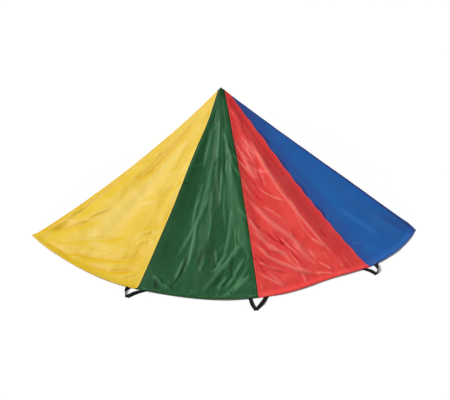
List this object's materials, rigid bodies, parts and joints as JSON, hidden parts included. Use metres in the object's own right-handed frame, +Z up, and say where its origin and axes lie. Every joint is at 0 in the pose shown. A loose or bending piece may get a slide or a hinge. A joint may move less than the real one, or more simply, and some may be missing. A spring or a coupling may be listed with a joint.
{
  "type": "play parachute",
  "caption": "Round play parachute of coloured nylon gores standing as a low peaked tent, back tucked under, with a webbing hand loop at each seam.",
  "frame": {"origin": "on the ground, in the middle of the rectangle that the spread cloth and its handles cover", "axes": "+Z up through the peak's height, -Y towards the spread front gores, +X to the right seen from the front"},
  "size_m": [2.8414, 3.0752, 0.7905],
  "materials": {
    "yellow_cloth": "glossy crinkled nylon taffeta",
    "green_cloth": "glossy crinkled nylon taffeta",
    "red_cloth": "glossy crinkled nylon taffeta",
    "blue_cloth": "glossy crinkled nylon taffeta",
    "webbing": "ribbed black nylon webbing"
  },
  "bodies": {
    "root": {"gore_01_yellow": "yellow_cloth", "gore_02_green": "green_cloth", "gore_03_red": "red_cloth", "gore_04_blue": "blue_cloth", "gore_05_yellow": "yellow_cloth", "gore_06_green": "green_cloth", "gore_07_red": "red_cloth", "gore_08_blue": "blue_cloth", "gore_09_yellow": "yellow_cloth", "gore_10_green": "green_cloth", "gore_11_red": "red_cloth", "gore_12_blue": "blue_cloth", "handle_01": "webbing", "handle_02": "webbing", "handle_03": "webbing", "handle_04": "webbing", "handle_05": "webbing", "handle_06": "webbing", "handle_07": "webbing", "handle_08": "webbing", "handle_09": "webbing", "handle_10": "webbing", "handle_11": "webbing", "handle_12": "webbing"}
  },
  "joints": []
}
